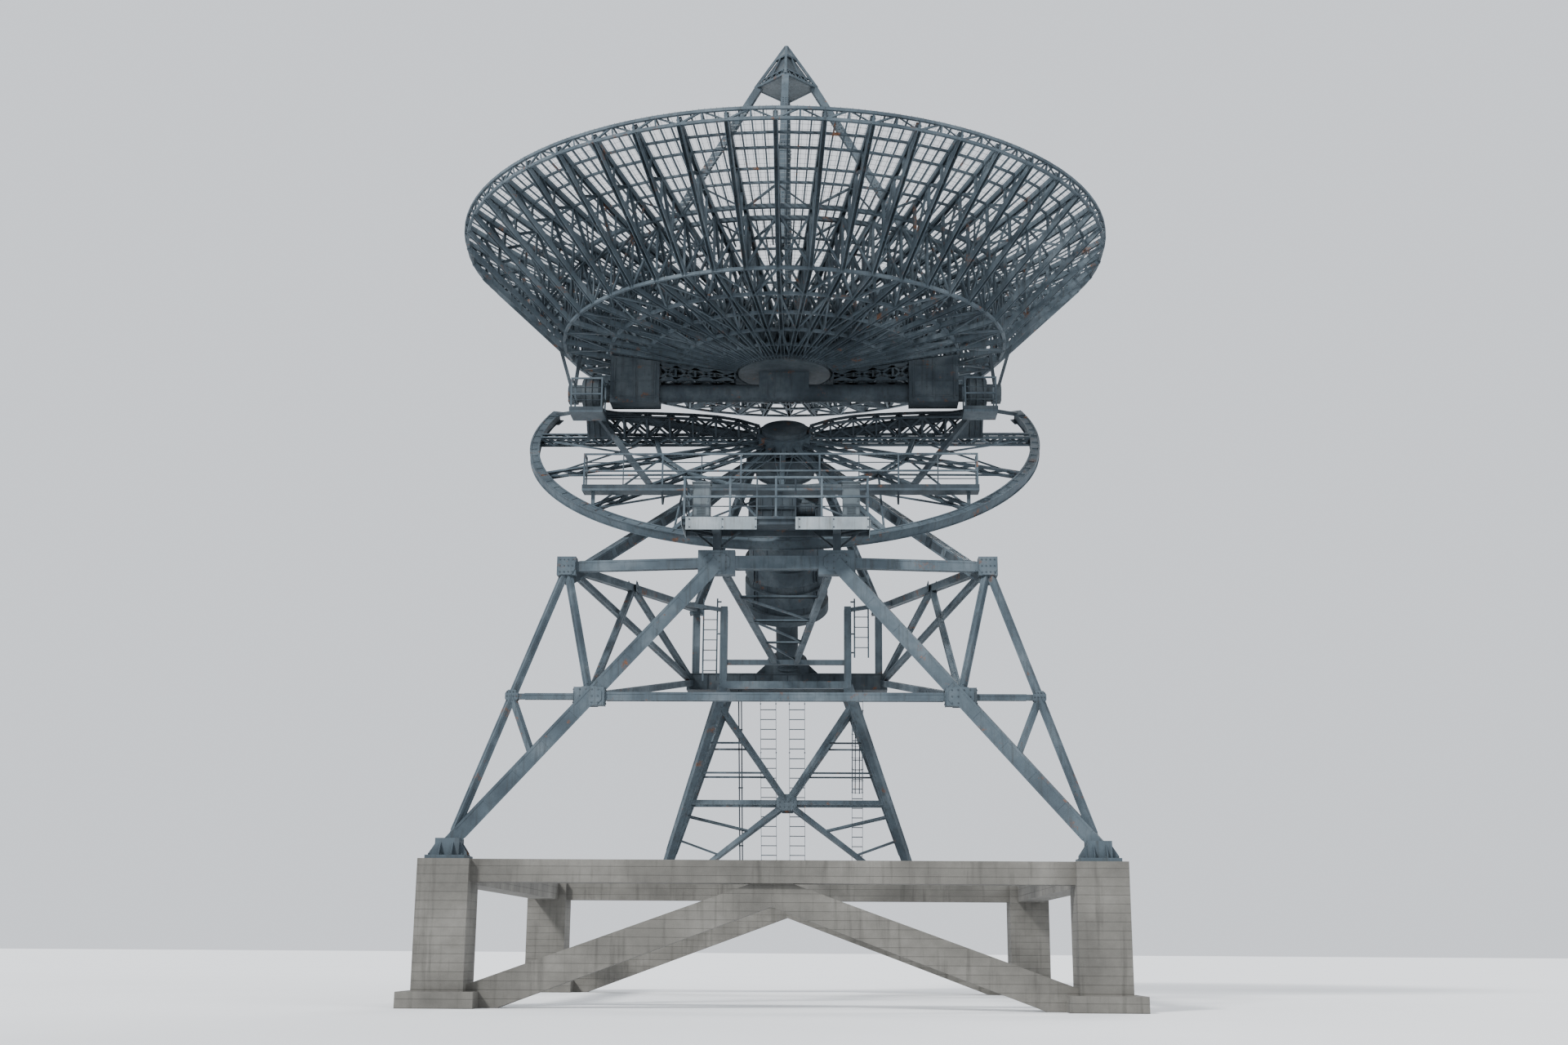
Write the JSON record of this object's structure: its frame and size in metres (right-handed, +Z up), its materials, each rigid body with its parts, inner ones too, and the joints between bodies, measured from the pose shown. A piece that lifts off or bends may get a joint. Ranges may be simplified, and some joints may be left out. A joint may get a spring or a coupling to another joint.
{
  "type": "radio telescope dish",
  "caption": "Steerable radio telescope dish on a polar mount, with a half-round polar wheel, a lattice steel pedestal and a concrete base.",
  "frame": {"origin": "on the ground, straight under the crossing of the polar and declination axes", "axes": "+Z up, -Y towards the celestial pole and the drive platform, +X along the declination axis at rest"},
  "size_m": [18.16, 18.16, 27.3],
  "materials": {
    "grey_steel": "matte",
    "dark_steel": "matte",
    "reflector_mesh": "matte",
    "grey_panel": "satin",
    "concrete": "matte"
  },
  "bodies": {
    "pedestal": {"pillar_front_left": "concrete", "pillar_front_right": "concrete", "pillar_rear_left": "concrete", "pillar_rear_right": "concrete", "base_beam_front": "concrete", "base_beam_rear": "concrete", "base_beam_left": "concrete", "base_beam_right": "concrete", "base_brace_front": "concrete", "base_brace_rear": "concrete", "front_leg_left": "grey_steel", "front_leg_right": "grey_steel", "side_truss_left": "grey_steel", "side_truss_right": "grey_steel", "front_tie": "grey_steel", "front_top_beam": "grey_steel", "upper_bearing_frame": "dark_steel", "lower_bearing": "dark_steel", "rear_cross_beam": "dark_steel", "rear_post_left": "grey_steel", "rear_post_right": "grey_steel", "rear_tower": "grey_steel", "portal_frame": "grey_steel", "drive_platform": "dark_steel", "platform_railing": "grey_steel", "drive_gearbox": "dark_steel", "drive_cabinet_left": "grey_panel", "drive_cabinet_right": "grey_panel", "ladder_centre": "grey_steel", "ladder_left": "grey_steel", "ladder_caged": "grey_steel", "cable_pipes": "dark_steel"},
    "polar_frame": {"polar_axle": "dark_steel", "polar_wheel_rim": "grey_steel", "polar_wheel_spokes": "grey_steel", "yoke_left": "dark_steel", "yoke_right": "dark_steel", "declination_platform_left": "grey_steel", "declination_platform_right": "grey_steel", "wheel_catwalk": "grey_steel", "catwalk_railing": "grey_steel"},
    "dish": {"dish_cradle": "dark_steel", "dish_hub": "dark_steel", "rib_sector_1": "grey_steel", "rib_sector_2": "grey_steel", "rib_sector_3": "grey_steel", "rib_sector_4": "grey_steel", "rib_sector_5": "grey_steel", "rib_sector_6": "grey_steel", "reflector": "reflector_mesh", "feed_leg_right": "grey_steel", "feed_leg_rear": "grey_steel", "feed_leg_left": "grey_steel", "feed_leg_front": "grey_steel", "focus_cabin": "grey_panel"}
  },
  "joints": [
    {"name": "polar_axis", "type": "hinge", "parent": "pedestal", "child": "polar_frame", "pos_m": [0, 0, 16.5], "axis": [0, -0.6129, 0.7902], "range_deg": [-60, 60]},
    {"name": "declination_axis", "type": "hinge", "parent": "polar_frame", "child": "dish", "pos_m": [0, 0, 16.5], "axis": [1, 0, 0], "range_deg": [-40, 37.8]}
  ]
}
